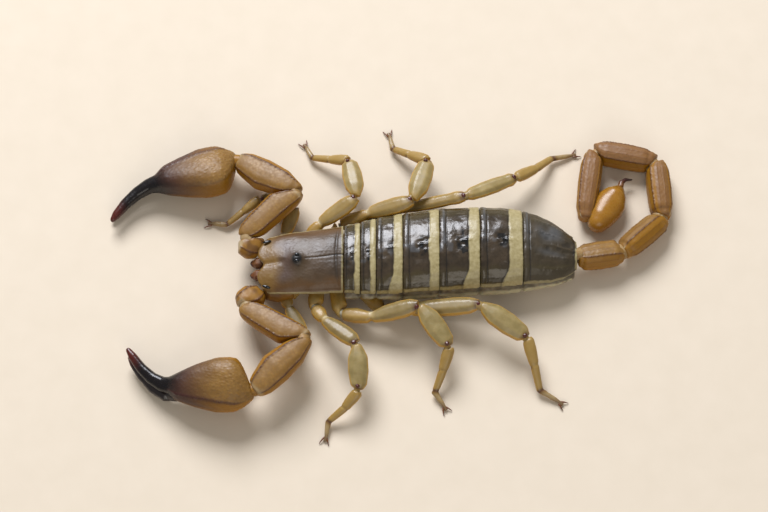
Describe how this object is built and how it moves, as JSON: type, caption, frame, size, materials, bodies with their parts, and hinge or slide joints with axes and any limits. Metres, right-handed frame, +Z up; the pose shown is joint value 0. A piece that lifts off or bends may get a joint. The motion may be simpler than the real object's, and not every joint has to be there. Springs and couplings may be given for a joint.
{
  "type": "desert scorpion",
  "caption": "Life-size desert scorpion standing still on a floor, with swollen claws spread in front and its tail laid on its side in a curl behind.",
  "frame": {"origin": "middle of the bounding box at floor height", "axes": "the head points to -X and the tail's root to +X, +Y is the animal's right side, and +Z is up from the floor it stands on"},
  "size_m": [0.053, 0.0314, 0.0051],
  "materials": {
    "back_plate": "glossy smoky-brown shell with pale rear margins",
    "soft_side": "finely wrinkled soft skin, grey-olive",
    "under_shell": "smooth straw-amber shell",
    "leg_shell": "glossy, slightly translucent straw-yellow shell",
    "amber_shell": "satin amber-brown shell with fine netting and grained ridges",
    "dusky_tip": "glossy purple-black shell with red-brown tips",
    "eye_glass": "polished black lens"
  },
  "bodies": {
    "root": {"belly": "soft_side", "carapace": "back_plate", "chelicera_left": "amber_shell", "chelicera_right": "amber_shell", "coxae": "under_shell", "lateral_eyes_left": "eye_glass", "lateral_eyes_right": "eye_glass", "leg_l1_femur": "leg_shell", "leg_l1_foot": "leg_shell", "leg_l1_patella": "leg_shell", "leg_l2_femur": "leg_shell", "leg_l2_foot": "leg_shell", "leg_l2_patella": "leg_shell", "leg_l3_femur": "leg_shell", "leg_l3_foot": "leg_shell", "leg_l3_patella": "leg_shell", "leg_l4_femur": "leg_shell", "leg_l4_foot": "leg_shell", "leg_l4_patella": "leg_shell", "leg_r1_femur": "leg_shell", "leg_r1_foot": "leg_shell", "leg_r1_patella": "leg_shell", "leg_r2_femur": "leg_shell", "leg_r2_foot": "leg_shell", "leg_r2_patella": "leg_shell", "leg_r3_femur": "leg_shell", "leg_r3_foot": "leg_shell", "leg_r3_patella": "leg_shell", "leg_r4_femur": "leg_shell", "leg_r4_foot": "leg_shell", "leg_r4_patella": "leg_shell", "median_eye_left": "eye_glass", "median_eye_right": "eye_glass", "palp_l_femur": "amber_shell", "palp_l_finger": "dusky_tip", "palp_l_hand": "amber_shell", "palp_l_patella": "amber_shell", "palp_l_trochanter": "amber_shell", "palp_r_femur": "amber_shell", "palp_r_finger": "dusky_tip", "palp_r_hand": "amber_shell", "palp_r_patella": "amber_shell", "palp_r_trochanter": "amber_shell", "pectine_left": "under_shell", "pectine_right": "under_shell", "tail_1": "amber_shell", "tail_2": "amber_shell", "tail_3": "amber_shell", "tail_4": "amber_shell", "tail_5": "amber_shell", "telson_bulb": "amber_shell", "telson_sting": "dusky_tip", "tergite_1": "back_plate", "tergite_2": "back_plate", "tergite_3": "back_plate", "tergite_4": "back_plate", "tergite_5": "back_plate", "tergite_6": "back_plate", "tergite_7": "back_plate"}
  },
  "joints": []
}
